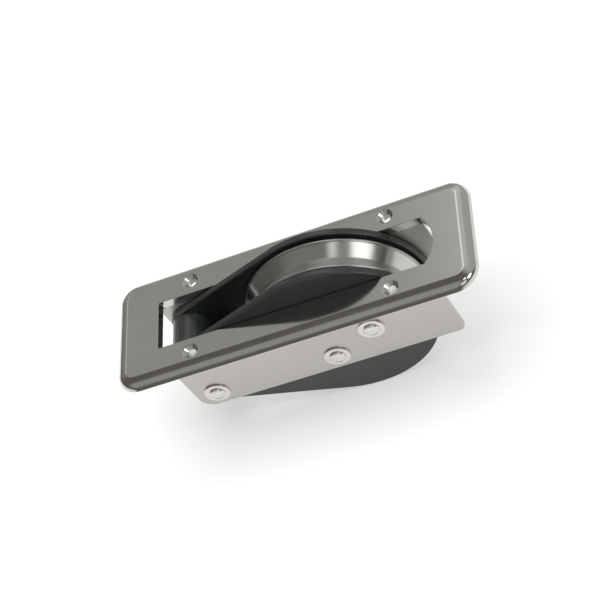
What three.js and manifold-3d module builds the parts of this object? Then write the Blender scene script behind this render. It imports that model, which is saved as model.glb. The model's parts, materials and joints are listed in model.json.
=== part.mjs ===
// Flush through-deck sheave box: a rimmed flange plate with a long slot, two side plates under it,
// two teardrop cheeks bolted between them and one wide sheave on a fixed hub.
// Millimetres, +Z up. X runs along the slot, Y across it. The origin is the centre of the flange's
// underside, the plane that lies on the deck.
import * as THREE from 'three';
import { mergeVertices } from 'three/addons/utils/BufferGeometryUtils.js';
import Module from 'manifold-3d';

const wasm = await Module();
wasm.setup();

// Flange plate
const PLATE_LENGTH = 200;
const PLATE_WIDTH = 68;
const PLATE_THICKNESS = 5.25;
const PLATE_CORNER_RADIUS = 13;
const CREASE_INSET = 6.5;
const CREASE_CORNER_RADIUS = 5;
const KNEE_INSET = 1.9;
const KNEE_HEIGHT = 3.7;
const RIM_EDGE_BREAK = 0.3;
const SLOT_LEFT = -74.5;
const SLOT_RIGHT = 73.75;
const SLOT_HALF_WIDTH = 14.5;
const SLOT_END_BULGE = 5.75;
const SCREW_SPACING_X = 111;
const SCREW_SPACING_Y = 45;
const SCREW_HOLE_RADIUS = 2.4;
const COUNTERSINK_RADIUS = 4.2;

// Side plates
const SIDE_PLATE_LEFT = -77;
const SIDE_PLATE_RIGHT = 73.5;
const SIDE_PLATE_DEPTH = 52;
const SIDE_PLATE_INNER = 14.5;
const SIDE_PLATE_OUTER = 16.5;
const SIDE_PLATE_LEFT_CORNER_RADIUS = 8;
const SIDE_PLATE_RIGHT_CORNER_RADIUS = 4.5;
const WELD_LEG = 2.5;
const WELD_END_MARGIN = 5;

// Cheeks
const CHEEK_INNER = 10.4;
const CHEEK_OUTER = 14.25;
const CHEEK_RADIUS = 50.3;
const CHEEK_END_RADIUS = 10.5;
const CHEEK_EDGE_ROUND = 0.8;

// Sheave, bearing and hub, around an axis along Y
const AXLE_X = 14;
const AXLE_Z = -27.85;
const RIM_RADIUS = 48.4;
const LIP_INNER_RADIUS = 47.6;
const GROOVE_RADIUS = 44;
const GROOVE_BOTTOM_HALF_WIDTH = 0.75;
const SHEAVE_HALF_WIDTH = 8.75;
const LIP_WIDTH = 1.15;
const RIM_BAND_RADIUS = 40;
const WEB_HALF_WIDTH = 5;
const BOSS_RADIUS = 36;
const BOSS_HALF_WIDTH = 8.75;
const SLEEVE_OUTER_RADIUS = 27;
const SLEEVE_INNER_RADIUS = 24.5;
const SLEEVE_HALF_WIDTH = 8.75;
const HUB_RADIUS = 24.25;
const THRUST_INNER_RADIUS = 24.75;
const THRUST_OUTER_RADIUS = 34;
const THRUST_NEAR = 9;
const THRUST_FAR = 10;
const PRESS_GAP = 0.25;

// Fasteners: M5 through-bolts with low round heads, thin nuts and broad washers
const HUB_BOLT_CIRCLE = 16.5;
const HUB_BOLT_ANGLES = [118, -2, -122];
const END_BOLT_X = -65;
const END_BOLT_OFFSET = 14;
const SHANK_RADIUS = 2.5;
const BOLT_HOLE_RADIUS = 2.75;
const WASHER_RADIUS = 7;
const WASHER_THICKNESS = 1;
const HEAD_RADIUS = 4.25;
const HEAD_FACE_RADIUS = 3.8;
const HEAD_HEIGHT = 1.1;
const NUT_ACROSS_FLATS = 8;
const NUT_HEIGHT = 2.75;
const BOLT_END_PROUD = 1;
const SPACER_RADIUS = 10;

// Facet counts
const BIG_ROUND = 48;
const SMALL_ROUND = 20;
const CORNER_STEPS = 5;

const steel = () => new THREE.MeshStandardMaterial({ color: 0x9a978f, roughness: 0.28, metalness: 1 });
const satinSteel = () => new THREE.MeshStandardMaterial({ color: 0xb7b3aa, roughness: 0.42, metalness: 1 });
const turnedSteel = () => new THREE.MeshStandardMaterial({ color: 0x8f8f8c, roughness: 0.3, metalness: 1 });
const brightSteel = () => new THREE.MeshStandardMaterial({ color: 0xcfcbc2, roughness: 0.22, metalness: 1 });
const blackAlloy = () => new THREE.MeshStandardMaterial({ color: 0x202424, roughness: 0.4, metalness: 0.1 });
const bearingPlastic = () => new THREE.MeshStandardMaterial({ color: 0xe6e1d3, roughness: 0.5, metalness: 0 });

const group = new THREE.Group();

function addMesh(name, geometry, material) {
  const mesh = new THREE.Mesh(geometry, material);
  mesh.name = name;
  group.add(mesh);
  return mesh;
}

function toSolid(geometry) {
  const bare = geometry.clone();
  bare.deleteAttribute('normal');
  bare.deleteAttribute('uv');
  const merged = mergeVertices(bare, 1e-4);
  const mesh = new wasm.Mesh({
    numProp: 3,
    vertProperties: new Float32Array(merged.attributes.position.array),
    triVerts: new Uint32Array(merged.index.array),
  });
  return new wasm.Manifold(mesh);
}

function toGeometry(solid) {
  const mesh = solid.getMesh();
  const geometry = new THREE.BufferGeometry();
  geometry.setAttribute('position', new THREE.BufferAttribute(mesh.vertProperties, 3));
  geometry.setIndex(new THREE.BufferAttribute(mesh.triVerts, 1));
  geometry.computeVertexNormals();
  return geometry;
}

// Turns a shape made around or along +Z so that its +Z points along +Y, with X kept and exact numbers.
function alongY(geometry) {
  const source = geometry.attributes.position;
  for (let i = 0; i < source.count; i += 1) {
    source.setXYZ(i, source.getX(i), source.getZ(i), -source.getY(i));
  }
  geometry.deleteAttribute('normal');
  geometry.computeVertexNormals();
  return geometry;
}

// A prism over an outline in (x, z), between two places along Y.
function prismAlongY(outline, yLow, yHigh) {
  const shape = new THREE.Shape(outline.map((p) => new THREE.Vector2(p.x, -p.y)));
  const geometry = new THREE.ExtrudeGeometry(shape, { depth: yHigh - yLow, bevelEnabled: false });
  geometry.translate(0, 0, yLow);
  return alongY(geometry);
}

function arcPoints(centreX, centreY, radius, fromDegrees, toDegrees, steps) {
  const points = [];
  for (let i = 0; i <= steps; i += 1) {
    const angle = THREE.MathUtils.degToRad(fromDegrees + (toDegrees - fromDegrees) * i / steps);
    points.push(new THREE.Vector2(centreX + radius * Math.cos(angle), centreY + radius * Math.sin(angle)));
  }
  return points;
}

function roundedRectangle(halfX, halfY, radius, steps) {
  const x = halfX - radius;
  const y = halfY - radius;
  return [
    ...arcPoints(x, y, radius, 0, 90, steps),
    ...arcPoints(-x, y, radius, 90, 180, steps),
    ...arcPoints(-x, -y, radius, 180, 270, steps),
    ...arcPoints(x, -y, radius, 270, 360, steps),
  ];
}

// A closed solid through convex outlines of equal point counts, from the lowest to the highest.
function loft(rings) {
  const count = rings[0].outline.length;
  const positions = [];
  const triangles = [];
  rings.forEach((ring) => ring.outline.forEach((p) => positions.push(p.x, p.y, ring.height)));
  for (let level = 0; level + 1 < rings.length; level += 1) {
    for (let i = 0; i < count; i += 1) {
      const next = (i + 1) % count;
      const a = level * count + i;
      const b = level * count + next;
      triangles.push(a, b, b + count);
      triangles.push(a, b + count, a + count);
    }
  }
  const top = (rings.length - 1) * count;
  for (let i = 1; i + 1 < count; i += 1) {
    triangles.push(0, i + 1, i);
    triangles.push(top, top + i, top + i + 1);
  }
  const geometry = new THREE.BufferGeometry();
  geometry.setAttribute('position', new THREE.BufferAttribute(new Float32Array(positions), 3));
  geometry.setIndex(triangles);
  geometry.computeVertexNormals();
  return geometry;
}

// A round bar along +Z.
function bar(radius, zLow, zHigh, segments) {
  const geometry = new THREE.CylinderGeometry(radius, radius, zHigh - zLow, segments);
  geometry.rotateX(Math.PI / 2);
  geometry.translate(0, 0, (zLow + zHigh) / 2);
  return geometry;
}

// A ring turned around Y from (radius, y) points that close on themselves, centred on x, z.
function turnedAlongY(profile, x, z, segments) {
  const closed = [...profile, profile[0]].map((p) => new THREE.Vector2(p[0], p[1]));
  const geometry = new THREE.LatheGeometry(closed, segments);
  geometry.translate(x, 0, z);
  return geometry;
}

function ringAlongY(inner, outer, yLow, yHigh, x, z, segments) {
  const profile = [[inner, yLow], [outer, yLow], [outer, yHigh], [inner, yHigh]];
  return turnedAlongY(profile, x, z, segments);
}

const hubBolts = HUB_BOLT_ANGLES.map((degrees) => {
  const angle = THREE.MathUtils.degToRad(degrees);
  return { x: AXLE_X + HUB_BOLT_CIRCLE * Math.cos(angle), z: AXLE_Z + HUB_BOLT_CIRCLE * Math.sin(angle) };
});
const endBolts = [
  { x: END_BOLT_X, z: AXLE_Z + END_BOLT_OFFSET },
  { x: END_BOLT_X, z: AXLE_Z - END_BOLT_OFFSET },
];
const bolts = [...endBolts, ...hubBolts];

// Cuts a hole along Y for each of the given bolts.
function cutBoltHoles(solid, places) {
  let result = solid;
  places.forEach((place) => {
    const drill = alongY(bar(BOLT_HOLE_RADIUS, -40, 40, SMALL_ROUND));
    drill.translate(place.x, 0, place.z);
    result = result.subtract(toSolid(drill));
  });
  return result;
}

function slotOutline() {
  const halfWidth = SLOT_HALF_WIDTH;
  const endRadius = (halfWidth ** 2 + SLOT_END_BULGE ** 2) / (2 * SLOT_END_BULGE);
  const halfAngle = THREE.MathUtils.radToDeg(Math.asin(halfWidth / endRadius));
  const centreX = SLOT_RIGHT + SLOT_END_BULGE - endRadius;
  return [
    new THREE.Vector2(SLOT_LEFT, -halfWidth),
    ...arcPoints(centreX, 0, endRadius, -halfAngle, halfAngle, 10),
    new THREE.Vector2(SLOT_LEFT, halfWidth),
  ];
}

function flangePlate() {
  const halfX = PLATE_LENGTH / 2;
  const halfY = PLATE_WIDTH / 2;
  const outline = (inset, radius) => roundedRectangle(halfX - inset, halfY - inset, radius, CORNER_STEPS);
  let solid = toSolid(loft([
    { height: 0, outline: outline(RIM_EDGE_BREAK, PLATE_CORNER_RADIUS - RIM_EDGE_BREAK) },
    { height: RIM_EDGE_BREAK, outline: outline(0, PLATE_CORNER_RADIUS) },
    { height: KNEE_HEIGHT, outline: outline(KNEE_INSET, PLATE_CORNER_RADIUS - KNEE_INSET) },
    { height: PLATE_THICKNESS, outline: outline(CREASE_INSET, CREASE_CORNER_RADIUS) },
  ]));
  const slot = new THREE.ExtrudeGeometry(new THREE.Shape(slotOutline()), { depth: 20, bevelEnabled: false });
  slot.translate(0, 0, -10);
  solid = solid.subtract(toSolid(slot));
  [-1, 1].forEach((sideX) => [-1, 1].forEach((sideY) => {
    const sinkDepth = COUNTERSINK_RADIUS - SCREW_HOLE_RADIUS;
    const top = PLATE_THICKNESS;
    const profile = [
      [0, -5],
      [SCREW_HOLE_RADIUS, -5],
      [SCREW_HOLE_RADIUS, top - sinkDepth],
      [COUNTERSINK_RADIUS, top],
      [COUNTERSINK_RADIUS, top + 5],
      [0, top + 5],
    ].map((p) => new THREE.Vector2(p[0], p[1]));
    const drill = new THREE.LatheGeometry(profile, SMALL_ROUND);
    drill.rotateX(Math.PI / 2);
    drill.translate(sideX * SCREW_SPACING_X / 2, sideY * SCREW_SPACING_Y / 2, 0);
    solid = solid.subtract(toSolid(drill));
  }));
  addMesh('flange_plate', toGeometry(solid), steel());
}

function sidePlate(name, side) {
  const left = SIDE_PLATE_LEFT_CORNER_RADIUS;
  const right = SIDE_PLATE_RIGHT_CORNER_RADIUS;
  const bottom = -SIDE_PLATE_DEPTH;
  const outline = [
    new THREE.Vector2(SIDE_PLATE_RIGHT, 0),
    new THREE.Vector2(SIDE_PLATE_LEFT, 0),
    ...arcPoints(SIDE_PLATE_LEFT + left, bottom + left, left, 180, 270, CORNER_STEPS),
    ...arcPoints(SIDE_PLATE_RIGHT - right, bottom + right, right, 270, 360, CORNER_STEPS),
  ];
  const low = side < 0 ? -SIDE_PLATE_OUTER : SIDE_PLATE_INNER;
  const plate = prismAlongY(outline, low, low + SIDE_PLATE_OUTER - SIDE_PLATE_INNER);
  addMesh(name, toGeometry(cutBoltHoles(toSolid(plate), bolts)), satinSteel());
}

// A fillet bead in the corner between a side plate's outer face and the flange's underside.
function weldBead(name, side) {
  const start = SIDE_PLATE_LEFT + WELD_END_MARGIN;
  const length = SIDE_PLATE_RIGHT - SIDE_PLATE_LEFT - 2 * WELD_END_MARGIN;
  const y = SIDE_PLATE_OUTER * side;
  const section = new THREE.Shape([
    new THREE.Vector2(0, y),
    new THREE.Vector2(0, y + side * WELD_LEG),
    new THREE.Vector2(-WELD_LEG, y),
  ]);
  const bead = new THREE.ExtrudeGeometry(section, { depth: length, bevelEnabled: false });
  const source = bead.attributes.position;
  for (let i = 0; i < source.count; i += 1) {
    source.setXYZ(i, start + source.getZ(i), source.getY(i), source.getX(i));
  }
  // The axis swap above mirrors the shape, so each triangle is turned over again.
  for (let i = 0; i < source.count; i += 3) {
    const second = new THREE.Vector3().fromBufferAttribute(source, i + 1);
    const third = new THREE.Vector3().fromBufferAttribute(source, i + 2);
    source.setXYZ(i + 1, third.x, third.y, third.z);
    source.setXYZ(i + 2, second.x, second.y, second.z);
  }
  bead.computeVertexNormals();
  addMesh(name, bead, satinSteel());
}

// The teardrop: a large round over the sheave, joined by straight tangents to the two end bolts.
function cheekOutline(inset) {
  const big = CHEEK_RADIUS - inset;
  const small = CHEEK_END_RADIUS - inset;
  const dx = AXLE_X - END_BOLT_X;
  const reach = Math.hypot(dx, END_BOLT_OFFSET);
  const lean = Math.asin((CHEEK_RADIUS - CHEEK_END_RADIUS) / reach);
  const slope = THREE.MathUtils.radToDeg(lean - Math.atan2(END_BOLT_OFFSET, dx));
  const upper = endBolts[0];
  const lower = endBolts[1];
  return [
    ...arcPoints(AXLE_X, AXLE_Z, big, -90 - slope, 90 + slope, 36),
    ...arcPoints(upper.x, upper.z, small, 90 + slope, 180, 5),
    ...arcPoints(lower.x, lower.z, small, 180, 270 - slope, 5),
  ];
}

function cheek(name, side) {
  const inset = CHEEK_EDGE_ROUND;
  const half = inset * 0.3;
  const rings = [
    { height: CHEEK_INNER, outline: cheekOutline(inset) },
    { height: CHEEK_INNER + half, outline: cheekOutline(half) },
    { height: CHEEK_INNER + inset, outline: cheekOutline(0) },
    { height: CHEEK_OUTER - inset, outline: cheekOutline(0) },
    { height: CHEEK_OUTER - half, outline: cheekOutline(half) },
    { height: CHEEK_OUTER, outline: cheekOutline(inset) },
  ];
  const flipped = rings.map((ring) => ({
    height: side * ring.height,
    outline: ring.outline.map((p) => new THREE.Vector2(p.x, -p.y)).reverse(),
  }));
  const ordered = side < 0 ? flipped.reverse() : flipped;
  const solid = cutBoltHoles(toSolid(alongY(loft(ordered))), bolts);
  addMesh(name, toGeometry(solid), blackAlloy());
}

function sheave() {
  const half = SHEAVE_HALF_WIDTH;
  const bore = SLEEVE_OUTER_RADIUS + PRESS_GAP;
  const grooveEdge = half - LIP_WIDTH;
  const profile = [
    [bore, -BOSS_HALF_WIDTH],
    [BOSS_RADIUS, -BOSS_HALF_WIDTH],
    [BOSS_RADIUS, -WEB_HALF_WIDTH],
    [RIM_BAND_RADIUS, -WEB_HALF_WIDTH],
    [RIM_BAND_RADIUS, -half],
    [RIM_RADIUS, -half],
    [RIM_RADIUS, -grooveEdge - 0.3],
    [LIP_INNER_RADIUS, -grooveEdge],
    [GROOVE_RADIUS, -GROOVE_BOTTOM_HALF_WIDTH],
    [GROOVE_RADIUS, GROOVE_BOTTOM_HALF_WIDTH],
    [LIP_INNER_RADIUS, grooveEdge],
    [RIM_RADIUS, grooveEdge + 0.3],
    [RIM_RADIUS, half],
    [RIM_BAND_RADIUS, half],
    [RIM_BAND_RADIUS, WEB_HALF_WIDTH],
    [BOSS_RADIUS, WEB_HALF_WIDTH],
    [BOSS_RADIUS, BOSS_HALF_WIDTH],
    [bore, BOSS_HALF_WIDTH],
  ];
  addMesh('sheave', turnedAlongY(profile, AXLE_X, AXLE_Z, BIG_ROUND), turnedSteel());
}

function bearing() {
  const sleeve = ringAlongY(SLEEVE_INNER_RADIUS, SLEEVE_OUTER_RADIUS, -SLEEVE_HALF_WIDTH, SLEEVE_HALF_WIDTH,
    AXLE_X, AXLE_Z, BIG_ROUND);
  addMesh('bearing_sleeve', sleeve, bearingPlastic());
  const hub = alongY(bar(HUB_RADIUS, -CHEEK_INNER, CHEEK_INNER, BIG_ROUND));
  hub.translate(AXLE_X, 0, AXLE_Z);
  addMesh('hub', toGeometry(cutBoltHoles(toSolid(hub), hubBolts)), satinSteel());
  [['front', -1], ['rear', 1]].forEach(([word, side]) => {
    const low = side < 0 ? -THRUST_FAR : THRUST_NEAR;
    const high = side < 0 ? -THRUST_NEAR : THRUST_FAR;
    const ring = ringAlongY(THRUST_INNER_RADIUS, THRUST_OUTER_RADIUS, low, high, AXLE_X, AXLE_Z, BIG_ROUND);
    addMesh(`thrust_washer_${word}`, ring, bearingPlastic());
  });
}

function spacers() {
  ['upper', 'lower'].forEach((word, i) => {
    const place = endBolts[i];
    const tube = ringAlongY(BOLT_HOLE_RADIUS, SPACER_RADIUS, -CHEEK_INNER, CHEEK_INNER,
      place.x, place.z, SMALL_ROUND);
    addMesh(`end_spacer_${word}`, tube, blackAlloy());
  });
}

// A short bar along +Z, chamfered at one end down to a round face: six sides for a nut, many for a head.
function chamferedBar(sides, cornerRadius, coneTop, zLow, zHigh, towardTop) {
  const blank = bar(cornerRadius, zLow, zHigh, sides);
  const height = zHigh - zLow;
  const coneBase = cornerRadius + 1.4;
  const cone = new THREE.CylinderGeometry(
    towardTop ? coneTop : coneBase, towardTop ? coneBase : coneTop, height, SMALL_ROUND);
  cone.rotateX(Math.PI / 2);
  cone.translate(0, 0, (zLow + zHigh) / 2);
  return toSolid(blank).intersect(toSolid(cone));
}

function fasteners() {
  const washerFace = SIDE_PLATE_OUTER + WASHER_THICKNESS;
  const shankEnd = washerFace + NUT_HEIGHT + BOLT_END_PROUD;
  const shank = toSolid(bar(SHANK_RADIUS, -washerFace - HEAD_HEIGHT / 2, shankEnd, SMALL_ROUND));
  const head = chamferedBar(SMALL_ROUND, HEAD_RADIUS, HEAD_FACE_RADIUS, -washerFace - HEAD_HEIGHT,
    -washerFace, false);
  const bolt = head.add(shank);
  const nutHole = toSolid(bar(BOLT_HOLE_RADIUS, 0, 40, SMALL_ROUND));
  const nutBlank = chamferedBar(6, NUT_ACROSS_FLATS / Math.sqrt(3), NUT_ACROSS_FLATS / 2 - 0.1, washerFace,
    washerFace + NUT_HEIGHT, true);
  const nut = nutBlank.subtract(nutHole);
  const names = ['end_upper', 'end_lower', 'hub_1', 'hub_2', 'hub_3'];
  bolts.forEach((place, i) => {
    const name = names[i];
    const boltGeometry = alongY(toGeometry(bolt));
    boltGeometry.translate(place.x, 0, place.z);
    addMesh(`bolt_${name}`, boltGeometry, brightSteel());
    const nutGeometry = alongY(toGeometry(nut));
    nutGeometry.translate(place.x, 0, place.z);
    addMesh(`nut_${name}`, nutGeometry, brightSteel());
    [['front', -washerFace], ['rear', SIDE_PLATE_OUTER]].forEach(([word, low]) => {
      const washer = ringAlongY(BOLT_HOLE_RADIUS, WASHER_RADIUS, low, low + WASHER_THICKNESS,
        place.x, place.z, SMALL_ROUND);
      addMesh(`washer_${name}_${word}`, washer, brightSteel());
    });
  });
}

flangePlate();
sidePlate('side_plate_front', -1);
sidePlate('side_plate_rear', 1);
weldBead('weld_bead_front', -1);
weldBead('weld_bead_rear', 1);
cheek('cheek_front', -1);
cheek('cheek_rear', 1);
spacers();
sheave();
bearing();
fasteners();

export default group;
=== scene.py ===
"""Looks of the through-deck sheave box: each CAD node gets a finely shaped piece with a procedural finish.

Lengths are in metres in the part's frame: X along the slot, Y across it, Z up, origin on the deck plane.
"""
import json
import math
import random

import bmesh
import bpy
from mathutils import Matrix, Vector


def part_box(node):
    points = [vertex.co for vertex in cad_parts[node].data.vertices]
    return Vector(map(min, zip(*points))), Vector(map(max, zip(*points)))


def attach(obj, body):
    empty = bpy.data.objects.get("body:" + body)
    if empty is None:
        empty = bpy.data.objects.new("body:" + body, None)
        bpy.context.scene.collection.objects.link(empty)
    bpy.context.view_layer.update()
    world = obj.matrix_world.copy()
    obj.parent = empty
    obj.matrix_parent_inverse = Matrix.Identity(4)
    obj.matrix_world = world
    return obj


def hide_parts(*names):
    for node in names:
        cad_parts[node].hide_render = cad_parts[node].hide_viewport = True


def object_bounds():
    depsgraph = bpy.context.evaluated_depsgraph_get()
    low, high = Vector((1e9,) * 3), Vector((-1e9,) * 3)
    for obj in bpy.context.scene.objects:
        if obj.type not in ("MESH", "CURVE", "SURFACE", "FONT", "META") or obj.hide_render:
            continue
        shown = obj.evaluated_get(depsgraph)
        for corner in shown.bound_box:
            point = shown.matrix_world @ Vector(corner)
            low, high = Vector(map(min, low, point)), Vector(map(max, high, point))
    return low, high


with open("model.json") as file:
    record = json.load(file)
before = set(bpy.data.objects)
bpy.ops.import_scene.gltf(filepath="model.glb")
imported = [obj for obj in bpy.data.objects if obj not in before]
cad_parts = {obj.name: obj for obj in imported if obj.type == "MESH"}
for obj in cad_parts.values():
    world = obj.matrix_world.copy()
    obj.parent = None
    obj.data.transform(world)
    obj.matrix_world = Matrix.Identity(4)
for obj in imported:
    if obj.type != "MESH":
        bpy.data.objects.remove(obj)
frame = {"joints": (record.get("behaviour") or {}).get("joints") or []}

CAD_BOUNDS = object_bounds()
MM = 0.001

# ---------------------------------------------------------------- sizes that the frame's boxes don't give
PLATE_CORNER = 13 * MM
CREASE_INSET = 6.5 * MM
CREASE_CORNER = 5 * MM
KNEE_INSET = 1.9 * MM
KNEE_DROP = 1.55 * MM
KNEE_ROUND = 6 * MM
CREASE_ROUND = 3 * MM
CREASE_MARGIN = 1.2 * MM
RIM_FOOT = 0.4 * MM
SLOT_LEFT = -74.5 * MM
SLOT_RIGHT = 73.75 * MM
SLOT_HALF_WIDTH = 14.5 * MM
SLOT_BULGE = 5.75 * MM
SLOT_CORNER = 1.0 * MM
SCREW_X = 55.5 * MM
SCREW_Y = 22.5 * MM
SCREW_RADIUS = 2.4 * MM
SINK_RADIUS = 4.2 * MM
PLATE_EDGE_ROUND = 0.18 * MM
CUT_LOW = -10 * MM
CUT_HIGH = 20 * MM
SINK_MARGIN = 5 * MM
DRILL_REACH = 60 * MM

SIDE_LEFT_CORNER = 8 * MM
SIDE_RIGHT_CORNER = 4.5 * MM
SIDE_EDGE_ROUND = 0.25 * MM
RIPPLE_PITCH = 1.3 * MM
RIPPLE_STEPS = 6
BEAD_TAPER = 2 * MM

CHEEK_END_RADIUS = 10.5 * MM
CHEEK_EDGE_ROUND = 0.8 * MM

GROOVE_RADIUS = 44 * MM
GROOVE_EDGE_RADIUS = 47.6 * MM
LIP_WIDTH = 1.15 * MM
RIM_INNER = 40 * MM
WEB_HALF = 5 * MM
BOSS_RADIUS = 36 * MM
BOSS_HALF = 8.75 * MM
SLEEVE_INNER = 24.5 * MM
SHEAVE_BORE = 27.25 * MM
HUB_EDGE = 0.5 * MM
THRUST_INNER = 24.75 * MM

BOLT_HOLE = 2.75 * MM
SHANK_RADIUS = 2.5 * MM
THREAD_PITCH = 0.8 * MM
THREAD_DEPTH = 0.4 * MM
THREAD_LENGTH = 6 * MM
SHANK_CHAMFER = 0.5 * MM
NUT_FLATS = 8 * MM
NUT_FACE_RADIUS = 3.88 * MM
HEAD_RADIUS = 4.25 * MM
HEAD_FACE_RADIUS = 3.8 * MM
HEAD_RING_DEPTH = 0.2 * MM
NUT_MOUTH = 0.35 * MM
NUT_CHAMFER_ANGLE = 28

AXLE = Vector(frame["joints"][0]["pos_m"])
FASTENERS = ("end_upper", "end_lower", "hub_1", "hub_2", "hub_3")
HOUSING = "housing"
WHEEL = "sheave_wheel"


def bolt_centre(name):
    low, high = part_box("bolt_" + name)
    return (low + high) / 2


# ---------------------------------------------------------------- mesh building
def new_object(name, points, faces):
    mesh = bpy.data.meshes.new(name)
    mesh.from_pydata([tuple(p) for p in points], [], faces)
    mesh.validate()
    mesh.update()
    piece = bpy.data.objects.new(name, mesh)
    bpy.context.scene.collection.objects.link(piece)
    return piece


def arc(centre, radius, start, end, steps):
    """Points on a circle from start to end degrees, as (x, y) pairs."""
    angles = [math.radians(start + (end - start) * i / steps) for i in range(steps + 1)]
    return [(centre[0] + radius * math.cos(a), centre[1] + radius * math.sin(a)) for a in angles]


def rounded(points, radius, closed=True, steps=5):
    """The outline with each corner replaced by an arc. radius is one number, or one for each corner."""
    count = len(points)
    radii = radius if hasattr(radius, "__len__") else [radius] * count
    result = []
    for i, point in enumerate(points):
        if radii[i] == 0 or (not closed and i in (0, count - 1)):
            result.append(point)
            continue
        here = Vector(point)
        back = (Vector(points[i - 1]) - here).normalized()
        ahead = (Vector(points[(i + 1) % count]) - here).normalized()
        half = back.angle(ahead) / 2
        if half > math.radians(89):
            result.append(point)
            continue
        cut = radii[i] / math.tan(half)
        centre = here + (back + ahead).normalized() * (radii[i] / math.sin(half))
        first = here + back * cut - centre
        last = here + ahead * cut - centre
        sweep = first.angle_signed(last)
        for step in range(steps + 1):
            angle = -sweep * step / steps
            turn = Matrix.Rotation(angle, 2)
            result.append(tuple(centre + turn @ first))
    return result


def rounded_rectangle(half_x, half_y, radius, steps):
    x, y = half_x - radius, half_y - radius
    corners = ((x, y), (-x, y), (-x, -y), (x, -y))
    return [p for i, c in enumerate(corners) for p in arc(c, radius, 90 * i, 90 * i + 90, steps)]


def loft(name, rings):
    """A closed surface through rings of equal point counts, with a flat face over each end ring."""
    count = len(rings[0])
    points = [p for ring in rings for p in ring]
    faces = []
    for level in range(len(rings) - 1):
        for i in range(count):
            j = (i + 1) % count
            low = level * count
            faces.append((low + i, low + j, low + count + j, low + count + i))
    faces.append(tuple(range(count - 1, -1, -1)))
    top = (len(rings) - 1) * count
    faces.append(tuple(range(top, top + count)))
    return new_object(name, points, faces)


def prism_along_y(name, outline, y_low, y_high):
    """A prism over an (x, z) outline that runs counter-clockwise seen from -Y."""
    return loft(name, [[(x, y, z) for x, z in outline] for y in (y_high, y_low)])


def turned(name, profile, centre, segments):
    """A ring turned around the Y axis through centre from a closed (radius, y) profile."""
    points, faces = [], []
    for r, y in profile:
        for i in range(segments):
            angle = 2 * math.pi * i / segments
            points.append((r * math.cos(angle), y, r * math.sin(angle)))
    count = len(profile)
    for a in range(count):
        b = (a + 1) % count
        for i in range(segments):
            j = (i + 1) % segments
            faces.append((a * segments + i, b * segments + i, b * segments + j, a * segments + j))
    piece = new_object(name, points, faces)
    piece.location = centre
    return piece


def turned_bar(name, profile, centre, segments):
    """A solid bar turned around the Y axis through centre. Its open profile runs from low to high Y."""
    rings = []
    for r, y in profile:
        rings.append([(r * math.cos(a), y, -r * math.sin(a))
                      for a in (2 * math.pi * i / segments for i in range(segments))])
    piece = loft(name, rings)
    piece.location = centre
    return piece


def orient(piece):
    """Turns the faces of a closed mesh outwards."""
    work = bmesh.new()
    work.from_mesh(piece.data)
    bmesh.ops.recalc_face_normals(work, faces=work.faces)
    if work.calc_volume(signed=True) < 0:
        bmesh.ops.reverse_faces(work, faces=work.faces)
    work.to_mesh(piece.data)
    work.free()
    return piece


def bake_modifiers(piece):
    bpy.context.view_layer.update()
    graph = bpy.context.evaluated_depsgraph_get()
    mesh = bpy.data.meshes.new_from_object(piece.evaluated_get(graph))
    piece.modifiers.clear()
    old = piece.data
    piece.data = mesh
    bpy.data.meshes.remove(old)
    mesh.name = piece.name
    return piece


def combine(piece, other, operation):
    """Joins, cuts or intersects piece with other, and deletes other."""
    orient(piece)
    orient(other)
    tool = piece.modifiers.new("combine", "BOOLEAN")
    tool.solver = "EXACT"
    tool.operation = operation
    tool.object = other
    bake_modifiers(piece)
    mesh = other.data
    bpy.data.objects.remove(other)
    bpy.data.meshes.remove(mesh)
    return piece


def round_edges(piece, width, segments=3, angle=30):
    tool = piece.modifiers.new("round", "BEVEL")
    tool.width = width
    tool.segments = segments
    tool.limit_method = "ANGLE"
    tool.angle_limit = math.radians(angle)
    tool.harden_normals = False
    return bake_modifiers(piece)


def smooth(piece, angle=40):
    """Smooth shading with flat faces kept flat, and edges over the angle kept sharp."""
    orient(piece)
    mesh = piece.data
    mesh.shade_smooth()
    mesh.set_sharp_from_angle(angle=math.radians(angle))
    weight = piece.modifiers.new("flat_faces", "WEIGHTED_NORMAL")
    weight.keep_sharp = True
    weight.weight = 100
    return bake_modifiers(piece)


def drill_along_y(piece, places, radius):
    profile = [(radius, -DRILL_REACH), (radius, DRILL_REACH)]
    for place in places:
        drill = turned_bar("drill", profile, (place.x, 0, place.z), 40)
        combine(piece, drill, "DIFFERENCE")
    return piece


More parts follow.
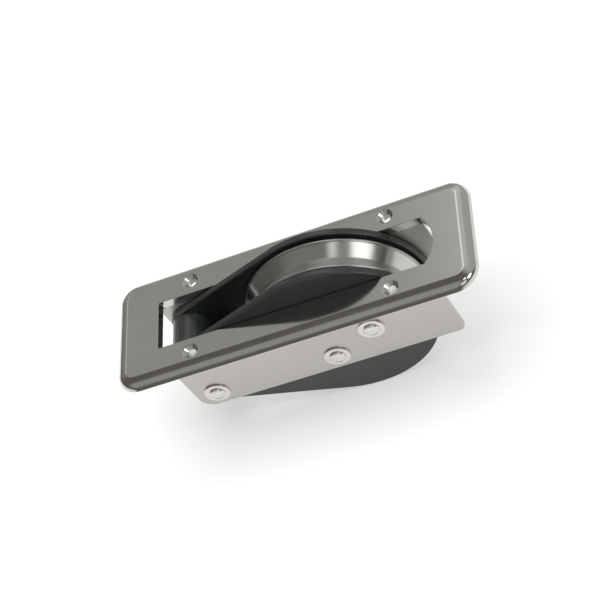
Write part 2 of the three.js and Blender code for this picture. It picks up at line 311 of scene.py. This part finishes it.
# ---------------------------------------------------------------- finishes
class Finish:
    """A Principled material with a few shorthand nodes."""

    def __init__(self, name, colour, metallic, roughness):
        self.material = bpy.data.materials.new(name)
        self.material.use_nodes = True
        self.tree = self.material.node_tree
        self.shader = next(n for n in self.tree.nodes if n.type == "BSDF_PRINCIPLED")
        self.colour = colour
        self.roughness = roughness
        self.shader.inputs["Base Color"].default_value = (*colour, 1)
        self.shader.inputs["Metallic"].default_value = metallic
        self.shader.inputs["Roughness"].default_value = roughness
        self.place = self.add("ShaderNodeTexCoord").outputs["Object"]

    def add(self, kind, **settings):
        node = self.tree.nodes.new(kind)
        for key, value in settings.items():
            setattr(node, key, value)
        return node

    def link(self, source, target):
        self.tree.links.new(source, target)

    def stretched(self, scale):
        mapping = self.add("ShaderNodeMapping")
        mapping.inputs["Scale"].default_value = scale
        self.link(self.place, mapping.inputs["Vector"])
        return mapping.outputs["Vector"]

    def noise(self, vector, scale=1.0, detail=3.0, roughness=0.5):
        node = self.add("ShaderNodeTexNoise")
        node.inputs["Scale"].default_value = scale
        node.inputs["Detail"].default_value = detail
        node.inputs["Roughness"].default_value = roughness
        self.link(vector, node.inputs["Vector"])
        return node.outputs["Fac"]

    def remap(self, value, low, high, from_low=0.3, from_high=0.7):
        node = self.add("ShaderNodeMapRange")
        node.inputs["From Min"].default_value = from_low
        node.inputs["From Max"].default_value = from_high
        node.inputs["To Min"].default_value = low
        node.inputs["To Max"].default_value = high
        self.link(value, node.inputs["Value"])
        return node.outputs["Result"]

    def math(self, operation, first, second):
        node = self.add("ShaderNodeMath", operation=operation)
        for slot, value in zip(node.inputs, (first, second)):
            if isinstance(value, (int, float)):
                slot.default_value = value
            else:
                self.link(value, slot)
        return node.outputs["Value"]

    def tint(self, factor, dark, light):
        """The base colour swings between dark and light times itself as factor goes from 0 to 1."""
        node = self.add("ShaderNodeMix", data_type="RGBA")
        self.link(factor, node.inputs["Factor"])
        sockets = [s for s in node.inputs if s.type == "RGBA"]
        sockets[0].default_value = (*[c * dark for c in self.colour], 1)
        sockets[1].default_value = (*[min(1, c * light) for c in self.colour], 1)
        result = next(s for s in node.outputs if s.type == "RGBA")
        self.link(result, self.shader.inputs["Base Color"])

    def vary_roughness(self, factor, swing):
        value = self.remap(factor, self.roughness - swing, self.roughness + swing)
        self.link(value, self.shader.inputs["Roughness"])

    def bump(self, height, strength, distance):
        node = self.add("ShaderNodeBump")
        node.inputs["Strength"].default_value = strength
        node.inputs["Distance"].default_value = distance
        self.link(height, node.inputs["Height"])
        self.link(node.outputs["Normal"], self.shader.inputs["Normal"])


def sheet_metal(name, colour, roughness, grain_scale, line_depth, cloud_swing=0.03):
    """Rolled or polished sheet: fine lines along X, and slow clouds in the polish."""
    finish = Finish(name, colour, 1.0, roughness)
    lines = finish.noise(finish.stretched((12, grain_scale, grain_scale)), 1.0, 4.0, 0.6)
    clouds = finish.noise(finish.stretched((28, 40, 40)), 1.0, 3.0, 0.55)
    both = finish.math("ADD", finish.math("MULTIPLY", lines, 0.45), finish.math("MULTIPLY", clouds, 0.55))
    finish.tint(finish.remap(both, 0.0, 1.0), 0.955, 1.04)
    finish.vary_roughness(both, cloud_swing)
    finish.bump(lines, 0.25, line_depth)
    return finish.material


def turned_metal(name, colour, roughness, ring_scale, ring_depth, anisotropy):
    """Metal turned around Y: fine rings that follow the distance along the axis and from it."""
    finish = Finish(name, colour, 1.0, roughness)
    parts = finish.add("ShaderNodeSeparateXYZ")
    finish.link(finish.place, parts.inputs["Vector"])
    square_x = finish.math("MULTIPLY", parts.outputs["X"], parts.outputs["X"])
    square_z = finish.math("MULTIPLY", parts.outputs["Z"], parts.outputs["Z"])
    radius = finish.math("SQRT", finish.math("ADD", square_x, square_z), 0.0)
    across = finish.add("ShaderNodeCombineXYZ")
    finish.link(finish.math("MULTIPLY", parts.outputs["Y"], ring_scale), across.inputs["X"])
    finish.link(finish.math("MULTIPLY", radius, ring_scale), across.inputs["Y"])
    rings = finish.noise(across.outputs["Vector"], 1.0, 4.0, 0.65)
    clouds = finish.noise(finish.stretched((60, 60, 60)), 1.0, 3.0, 0.5)
    both = finish.math("ADD", finish.math("MULTIPLY", rings, 0.6), finish.math("MULTIPLY", clouds, 0.4))
    finish.tint(finish.remap(both, 0.0, 1.0), 0.92, 1.06)
    finish.vary_roughness(both, 0.04)
    finish.bump(rings, 0.3, ring_depth)
    finish.shader.inputs["Anisotropic"].default_value = anisotropy
    finish.shader.inputs["Anisotropic Rotation"].default_value = 0.25
    tangent = finish.add("ShaderNodeTangent", direction_type="RADIAL", axis="Y")
    finish.link(tangent.outputs["Tangent"], finish.shader.inputs["Tangent"])
    return finish.material


def black_anodised(name):
    """Satin black: very fine pits and faint rubbed patches."""
    finish = Finish(name, (0.016, 0.019, 0.0185), 0.0, 0.24)
    finish.shader.inputs["Specular IOR Level"].default_value = 0.6
    pits = finish.noise(finish.stretched((1500, 1500, 1500)), 1.0, 2.0, 0.6)
    rubbed = finish.noise(finish.stretched((35, 35, 35)), 1.0, 4.0, 0.6)
    finish.tint(finish.remap(rubbed, 0.0, 1.0), 0.8, 1.3)
    finish.vary_roughness(rubbed, 0.05)
    finish.bump(pits, 0.2, 0.05 * MM)
    return finish.material


def acetal(name):
    """Natural bearing plastic with faint cutting marks."""
    finish = Finish(name, (0.80, 0.77, 0.69), 0.0, 0.45)
    finish.shader.inputs["Subsurface Weight"].default_value = 0.05
    marks = finish.noise(finish.stretched((250, 1500, 250)), 1.0, 3.0, 0.6)
    finish.tint(finish.remap(marks, 0.0, 1.0), 0.94, 1.03)
    finish.vary_roughness(marks, 0.05)
    finish.bump(marks, 0.15, 0.05 * MM)
    return finish.material


POLISHED = sheet_metal("polished_steel", (0.60, 0.592, 0.57), 0.12, 900, 0.012 * MM)
SATIN = sheet_metal("satin_steel", (0.50, 0.486, 0.458), 0.40, 1100, 0.04 * MM, 0.05)
BRIGHT = turned_metal("bright_steel", (0.68, 0.665, 0.635), 0.22, 1600, 0.01 * MM, 0.0)
TURNED = turned_metal("turned_steel", (0.56, 0.56, 0.55), 0.31, 1400, 0.004 * MM, 0.95)
BLACK = black_anodised("black_alloy")
PLASTIC = acetal("bearing_plastic")


def fit_out(piece, node, material, body=HOUSING):
    """Gives the finished mesh its material, its place on the body and the CAD node it stands for."""
    piece.name = node + "_fine"
    piece.data.name = piece.name
    piece.data.materials.clear()
    piece.data.materials.append(material)
    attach(piece, body)
    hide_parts(node)
    return piece


# ---------------------------------------------------------------- flange plate
def slot_outline():
    half, bulge = SLOT_HALF_WIDTH, SLOT_BULGE
    radius = (half * half + bulge * bulge) / (2 * bulge)
    spread = math.degrees(math.asin(half / radius))
    end = arc((SLOT_RIGHT + bulge - radius, 0), radius, -spread, spread, 24)
    corners = rounded([(SLOT_LEFT, half), (SLOT_LEFT, -half), end[0], end[-1]],
                      [SLOT_CORNER, SLOT_CORNER, 0, 0])
    return corners[:-2] + end


def flange_plate():
    half_x, half_y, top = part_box("flange_plate")[1]
    section = rounded(
        [(RIM_FOOT, 0), (0, RIM_FOOT), (KNEE_INSET, top - KNEE_DROP), (CREASE_INSET, top),
         (CREASE_INSET + CREASE_MARGIN, top)],
        [0, 0.3 * MM, KNEE_ROUND, CREASE_ROUND, 0], closed=False, steps=8)
    rings = []
    for inset, height in section:
        share = min(1, inset / (CREASE_INSET + CREASE_MARGIN))
        radius = (PLATE_CORNER - inset) * (1 - share) + CREASE_CORNER * share
        ring = rounded_rectangle(half_x - inset, half_y - inset, radius, 16)
        rings.append([(x, y, height) for x, y in ring])
    plate = loft("flange_plate", rings)
    slot = loft("slot", [[(x, y, z) for x, y in slot_outline()] for z in (CUT_LOW, CUT_HIGH)])
    combine(plate, slot, "DIFFERENCE")
    sink = SINK_RADIUS - SCREW_RADIUS
    drill_profile = [(SCREW_RADIUS, CUT_LOW), (SCREW_RADIUS, top - sink),
                     (SINK_RADIUS + SINK_MARGIN, top + SINK_MARGIN)]
    for side_x in (-1, 1):
        for side_y in (-1, 1):
            drill = turned_bar("drill", drill_profile, (0, 0, 0), 48)
            drill.data.transform(Matrix.Rotation(math.radians(90), 4, "X"))
            drill.location = (side_x * SCREW_X, side_y * SCREW_Y, 0)
            combine(plate, drill, "DIFFERENCE")
    round_edges(plate, PLATE_EDGE_ROUND, 3, 35)
    smooth(plate, 35)
    return fit_out(plate, "flange_plate", POLISHED)


# ---------------------------------------------------------------- side plates and welds
def side_plate(node):
    low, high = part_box(node)
    left, right = SIDE_LEFT_CORNER, SIDE_RIGHT_CORNER
    outline = [(high.x, high.z), (low.x, high.z)]
    outline += arc((low.x + left, low.z + left), left, 180, 270, 12)
    outline += arc((high.x - right, low.z + right), right, 270, 360, 12)
    plate = prism_along_y(node, outline, low.y, high.y)
    drill_along_y(plate, [bolt_centre(n) for n in FASTENERS], BOLT_HOLE)
    round_edges(plate, SIDE_EDGE_ROUND, 3, 35)
    smooth(plate, 35)
    return fit_out(plate, node, SATIN)


def weld_bead(node):
    """A fillet bead with overlapping ripples, tapered at both ends."""
    low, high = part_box(node)
    side = 1 if high.y > 0 else -1
    root = low.y if side > 0 else high.y
    leg = high.z - low.z
    steps = int((high.x - low.x) / RIPPLE_PITCH * RIPPLE_STEPS)
    wander = random.Random(11)
    rings = []
    for i in range(steps + 1):
        x = low.x + (high.x - low.x) * i / steps
        phase = ((x - low.x) / RIPPLE_PITCH) % 1.0
        if i % RIPPLE_STEPS == 0:
            drift = wander.uniform(-0.04, 0.04)
        ends = min(1, min(x - low.x, high.x - x) / BEAD_TAPER + 0.25)
        size = leg * math.sqrt(min(1, ends)) * (0.90 + drift + 0.06 * math.sin(math.pi * phase))
        section = [(0.0, 0.0)]
        for k in range(9):
            turn = math.pi / 2 * k / 8
            swell = 0.80 + 0.20 * abs(math.cos(2 * turn))
            section.append((size * swell * math.cos(turn), -size * swell * math.sin(turn)))
        rings.append([(x, root + side * out, z) for out, z in section])
    bead = loft(node, rings)
    smooth(bead, 50)
    return fit_out(bead, node, SATIN)


# ---------------------------------------------------------------- cheeks and spacers
def teardrop(inset, radius, steps):
    """The cheek's outline: a round over the sheave joined by tangents to a small round at each end bolt."""
    upper, lower = bolt_centre("end_upper"), bolt_centre("end_lower")
    across, up = AXLE.x - upper.x, upper.z - AXLE.z
    reach = math.hypot(across, up)
    slope = math.degrees(math.asin((radius - CHEEK_END_RADIUS) / reach) - math.atan2(up, across))
    small = CHEEK_END_RADIUS - inset
    outline = arc((AXLE.x, AXLE.z), radius - inset, -90 - slope, 90 + slope, steps)
    outline += arc((upper.x, upper.z), small, 90 + slope, 180, 14)
    outline += arc((lower.x, lower.z), small, 180, 270 - slope, 14)
    return outline


def cheek(node):
    low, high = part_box(node)
    radius = (high.z - low.z) / 2
    edge = CHEEK_EDGE_ROUND
    section = [(y, edge - rise) for y, rise in arc((low.y + edge, 0), edge, 180, 90, 8)]
    section += [(low.y + high.y - y, inset) for y, inset in reversed(section)]
    rings = [[(x, y, z) for x, z in teardrop(inset, radius, 120)] for y, inset in reversed(section)]
    plate = loft(node, rings)
    drill_along_y(plate, [bolt_centre(n) for n in FASTENERS], BOLT_HOLE)
    smooth(plate, 35)
    return fit_out(plate, node, BLACK)


def spacer(node, bolt):
    low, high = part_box(node)
    centre = bolt_centre(bolt)
    outer = (high.x - low.x) / 2
    profile = rounded([(BOLT_HOLE, low.y), (outer, low.y), (outer, high.y), (BOLT_HOLE, high.y)], 0.4 * MM)
    tube = turned(node, profile, (centre.x, 0, centre.z), 72)
    smooth(tube, 35)
    return fit_out(tube, node, BLACK)


# ---------------------------------------------------------------- sheave and bearing
def sheave():
    low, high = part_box("sheave")
    half = high.y
    rim = (high.z - low.z) / 2
    groove_edge = half - LIP_WIDTH
    wall_edge = groove_edge - 0.1 * MM
    groove = rounded(
        [(rim, -half), (rim, -groove_edge), (GROOVE_EDGE_RADIUS, -wall_edge), (GROOVE_RADIUS, 0),
         (GROOVE_EDGE_RADIUS, wall_edge), (rim, groove_edge), (rim, half)],
        [0, 0.2 * MM, 0.1 * MM, 1.0 * MM, 0.1 * MM, 0.2 * MM, 0], closed=False, steps=4)[1:-1]
    lip = rounded([(RIM_INNER, -half), (rim, -half), groove[0]], [0, 0.35 * MM, 0], closed=False, steps=4)
    other_lip = [(r, -y) for r, y in reversed(lip)]
    inner = rounded(
        [other_lip[-1], (RIM_INNER, WEB_HALF), (BOSS_RADIUS, WEB_HALF), (BOSS_RADIUS, BOSS_HALF),
         (SHEAVE_BORE, BOSS_HALF), (SHEAVE_BORE, -BOSS_HALF), (BOSS_RADIUS, -BOSS_HALF),
         (BOSS_RADIUS, -WEB_HALF), (RIM_INNER, -WEB_HALF), lip[0]],
        [0, 1 * MM, 1 * MM, 0.4 * MM, 0.4 * MM, 0.4 * MM, 0.4 * MM, 1 * MM, 1 * MM, 0],
        closed=False, steps=4)
    profile = lip + groove[1:-1] + other_lip + inner[1:-1]
    wheel = turned("sheave", profile, AXLE, 180)
    smooth(wheel, 30)
    return fit_out(wheel, "sheave", TURNED, WHEEL)


def ring(node, inner, edge, material, slot, body=HOUSING):
    """A plain turned ring that fills the CAD node's box, with small rounded edges."""
    low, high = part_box(node)
    centre = (low + high) / 2
    outer = (high.x - low.x) / 2
    half = (high.y - low.y) / 2
    profile = rounded([(inner, -half), (outer, -half), (outer, half), (inner, half)], edge, steps=3)
    piece = turned(node, profile, centre, 128 if outer > 10 * MM else 64)
    smooth(piece, 35)
    return fit_out(piece, node, material, body)


def hub():
    low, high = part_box("hub")
    radius = (high.x - low.x) / 2
    profile = [(radius - HUB_EDGE, low.y), (radius, low.y + HUB_EDGE),
               (radius, high.y - HUB_EDGE), (radius - HUB_EDGE, high.y)]
    drum = turned_bar("hub", profile, (0, 0, 0), 128)
    drum.data.transform(Matrix.Translation((AXLE.x, 0, AXLE.z)))
    drill_along_y(drum, [bolt_centre(n) for n in FASTENERS if n.startswith("hub")], BOLT_HOLE)
    smooth(drum, 30)
    return fit_out(drum, "hub", SATIN)


# ---------------------------------------------------------------- fasteners
def hexagon(name, y_low, y_high):
    """A hexagonal bar around the Y axis with a turned chamfer at its high end."""
    corner = NUT_FLATS / math.sqrt(3)
    outline = [(corner * math.cos(a), -corner * math.sin(a))
               for a in (math.radians(60 * i + 30) for i in range(6))]
    bar = loft(name, [[(x, y, z) for x, z in outline] for y in (y_low, y_high)])
    wide = corner * 1.2
    depth = (wide - NUT_FACE_RADIUS) * math.tan(math.radians(NUT_CHAMFER_ANGLE))
    profile = [(wide, y_low), (wide, y_high - depth), (NUT_FACE_RADIUS, y_high)]
    cone = turned_bar("cone", profile, (0, 0, 0), 64)
    return combine(bar, cone, "INTERSECT")


def bolt_mesh(washer_face, head_top, shank_end):
    """A bolt along Y with a low round head, whose last stretch carries thread ridges."""
    outer, face = HEAD_RADIUS, HEAD_FACE_RADIUS
    outline = [
        (0.4 * MM, head_top),
        (face - 0.75 * MM, head_top + 0.05 * MM),
        (face - 0.5 * MM, head_top + HEAD_RING_DEPTH),
        (face - 0.25 * MM, head_top + 0.02 * MM),
        (face, head_top + 0.05 * MM),
        (outer, head_top + 0.5 * MM),
        (outer, washer_face),
        (outer - 0.5 * MM, washer_face),
    ]
    corners = [0, 0.15 * MM, 0.08 * MM, 0.08 * MM, 0.3 * MM, 0.2 * MM, 0.1 * MM, 0]
    head = turned_bar("bolt_shape", rounded(outline, corners, closed=False, steps=4), (0, 0, 0), 72)
    thread_start = shank_end - THREAD_LENGTH
    profile = [(SHANK_RADIUS, washer_face - 0.5 * MM), (SHANK_RADIUS, thread_start)]
    y = thread_start + THREAD_PITCH / 2
    while y < shank_end - SHANK_CHAMFER - THREAD_PITCH / 2:
        profile.append((SHANK_RADIUS - THREAD_DEPTH, y))
        profile.append((SHANK_RADIUS, y + THREAD_PITCH / 2))
        y += THREAD_PITCH
    profile.append((SHANK_RADIUS - SHANK_CHAMFER, shank_end))
    shank = turned_bar("shank", profile, (0, 0, 0), 40)
    return combine(head, shank, "UNION")


def nut_mesh(y_low, y_high):
    shape = hexagon("nut_shape", y_low, y_high)
    profile = [(BOLT_HOLE, y_low - 1 * MM), (BOLT_HOLE, y_high - NUT_MOUTH),
               (BOLT_HOLE + 4 * NUT_MOUTH, y_high + 3 * NUT_MOUTH)]
    return combine(shape, turned_bar("hole", profile, (0, 0, 0), 40), "DIFFERENCE")


def fasteners():
    washer_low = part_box("washer_hub_1_front")[0].y
    washer_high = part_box("washer_hub_1_rear")[1].y
    bolt_low, bolt_high = (corner.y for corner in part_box("bolt_hub_1"))
    nut_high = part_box("nut_hub_1")[1].y
    bolt = bolt_mesh(washer_low, bolt_low, bolt_high)
    nut = nut_mesh(washer_high, nut_high)
    for shape in (bolt, nut):
        round_edges(shape, 0.08 * MM, 2, 25)
        smooth(shape, 30)
    turns = random.Random(5)
    for name in FASTENERS:
        centre = bolt_centre(name)
        for shape, word in ((bolt, "bolt_"), (nut, "nut_")):
            piece = bpy.data.objects.new(word + name, shape.data.copy())
            bpy.context.scene.collection.objects.link(piece)
            piece.data.transform(Matrix.Rotation(math.radians(turns.uniform(0, 60)), 4, "Y"))
            piece.location = (centre.x, 0, centre.z)
            fit_out(piece, word + name, BRIGHT)
        for word in ("front", "rear"):
            ring(f"washer_{name}_{word}", BOLT_HOLE, 0.18 * MM, BRIGHT, "bright_steel")
    for shape in (bolt, nut):
        bpy.data.objects.remove(shape)


# ---------------------------------------------------------------- stage, light and camera
CAMERA_AZIMUTH = 29.0
CAMERA_ELEVATION = 46.67
CAMERA_ROLL = -39.7
CAMERA_DISTANCE = 0.9086
CAMERA_TARGET = Vector((0.0050, -0.0092, 0.00125))
CAMERA_LENS = 108.6
SENSOR_WIDTH = 36

# Each soft light in the sky: its direction, the angles at which it starts to fade and is gone, its radiance.
SKY_LIGHTS = (
    ((-0.316, 0.789, 0.526), 23, 41, 0.24),
    ((0.0, 0.62, 0.78), 4, 18, 0.60),
    ((0.55, 0.62, 0.56), 25, 45, 0.35),
    ((-0.548, 0.60, 0.583), 2, 9, 0.40),
    ((0.77, -0.27, 0.58), 12, 15, 4.0),
    ((0.30, -0.29, 0.91), 4, 6, 5.0),
    ((0.35, -0.78, 0.50), 8, 20, 0.9),
    ((-0.33, -0.60, 0.73), 12, 35, 0.24),
)
SKY_BASE = (0.145, 0.14, 0.122)
BACKDROP = (0.9, 0.9, 0.9, 1)
WASH_POWER = 22
WASH_SIZE = 1.2
WASH_HEIGHT = 1.4
FLOOR_HALF = 6.0
FLOOR_GAP = 0.5 * MM
FLOOR_GLOW = 0.46


def direction(azimuth, elevation):
    """The unit vector from the object towards this azimuth and elevation. Azimuth 0 is -Y."""
    a, e = math.radians(azimuth), math.radians(elevation)
    return Vector((math.sin(a) * math.cos(e), -math.cos(a) * math.cos(e), math.sin(e)))


def look_at(thing, place, target, roll=0.0):
    thing.location = place
    turn = (target - place).to_track_quat("-Z", "Y").to_matrix().to_4x4()
    thing.rotation_euler = (turn @ Matrix.Rotation(math.radians(roll), 4, "Z")).to_euler()


def camera():
    data = bpy.data.cameras.new("camera")
    data.lens = CAMERA_LENS
    data.sensor_width = SENSOR_WIDTH
    data.clip_start = 0.01
    thing = bpy.data.objects.new("camera", data)
    bpy.context.scene.collection.objects.link(thing)
    place = CAMERA_TARGET + direction(CAMERA_AZIMUTH, CAMERA_ELEVATION) * CAMERA_DISTANCE
    look_at(thing, place, CAMERA_TARGET, CAMERA_ROLL)
    bpy.context.scene.camera = thing


def glow(tree, place, towards, inner, outer, strength, before):
    """Adds a round soft light in the sky: full within inner degrees of its direction, gone beyond outer."""
    dot = tree.nodes.new("ShaderNodeVectorMath")
    dot.operation = "DOT_PRODUCT"
    dot.inputs[1].default_value = Vector(towards).normalized()
    tree.links.new(place, dot.inputs[0])
    ramp = tree.nodes.new("ShaderNodeMapRange")
    ramp.interpolation_type = "SMOOTHSTEP"
    ramp.inputs["From Min"].default_value = math.cos(math.radians(outer))
    ramp.inputs["From Max"].default_value = math.cos(math.radians(inner))
    tree.links.new(dot.outputs["Value"], ramp.inputs["Value"])
    scale = tree.nodes.new("ShaderNodeVectorMath")
    scale.operation = "SCALE"
    scale.inputs[0].default_value = (strength, strength, strength)
    tree.links.new(ramp.outputs["Result"], scale.inputs["Scale"])
    total = tree.nodes.new("ShaderNodeVectorMath")
    tree.links.new(before, total.inputs[0])
    tree.links.new(scale.outputs["Vector"], total.inputs[1])
    return total.outputs["Vector"]


def sky():
    """A dim warm sky with soft lights in it, which the camera itself sees as a plain pale backdrop."""
    world = bpy.data.worlds.new("studio")
    world.use_nodes = True
    tree = world.node_tree
    background = next(n for n in tree.nodes if n.type == "BACKGROUND")
    place = tree.nodes.new("ShaderNodeTexCoord").outputs["Generated"]
    base = tree.nodes.new("ShaderNodeCombineXYZ")
    for socket, value in zip(base.inputs, SKY_BASE):
        socket.default_value = value
    light = base.outputs["Vector"]
    for towards, inner, outer, strength in SKY_LIGHTS:
        light = glow(tree, place, towards, inner, outer, strength, light)
    path = tree.nodes.new("ShaderNodeLightPath")
    pale = tree.nodes.new("ShaderNodeMix")
    pale.data_type = "RGBA"
    tree.links.new(path.outputs["Is Camera Ray"], pale.inputs["Factor"])
    colours = [s for s in pale.inputs if s.type == "RGBA"]
    tree.links.new(light, colours[0])
    colours[1].default_value = BACKDROP
    tree.links.new(next(s for s in pale.outputs if s.type == "RGBA"), background.inputs["Color"])
    bpy.context.scene.world = world


def floor_wash():
    """A wide lamp overhead that lights the floor and doesn't show in reflections."""
    data = bpy.data.lights.new("floor_wash", "AREA")
    data.shape = "DISK"
    data.size = WASH_SIZE
    data.energy = WASH_POWER
    wash = bpy.data.objects.new("floor_wash", data)
    bpy.context.scene.collection.objects.link(wash)
    look_at(wash, Vector((0, 0, WASH_HEIGHT)), Vector((0, 0, 0)))
    wash.visible_glossy = False
    wash.visible_camera = False


def floor():
    half = FLOOR_HALF
    z = CAD_BOUNDS[0][2] - FLOOR_GAP
    plane = new_object("floor", [(-half, -half, z), (half, -half, z), (half, half, z), (-half, half, z)],
                       [(0, 1, 2, 3)])
    finish = Finish("floor_paint", (0.48, 0.48, 0.48), 0.0, 0.7)
    finish.shader.inputs["Emission Color"].default_value = (1, 1, 1, 1)
    finish.shader.inputs["Emission Strength"].default_value = FLOOR_GLOW
    speckle = finish.noise(finish.stretched((40, 40, 40)), 1.0, 4.0, 0.6)
    finish.tint(finish.remap(speckle, 0.0, 1.0), 0.995, 1.005)
    plane.data.materials.append(finish.material)


bpy.context.scene.view_settings.view_transform = "Standard"
camera()
flange_plate()
for side in ("front", "rear"):
    side_plate("side_plate_" + side)
    weld_bead("weld_bead_" + side)
    cheek("cheek_" + side)
    ring("thrust_washer_" + side, THRUST_INNER, 0.2 * MM, PLASTIC, "bearing_plastic")
for level in ("upper", "lower"):
    spacer("end_spacer_" + level, "end_" + level)
sheave()
ring("bearing_sleeve", SLEEVE_INNER, 0.3 * MM, PLASTIC, "bearing_plastic", WHEEL)
hub()
fasteners()
floor()
sky()
floor_wash()
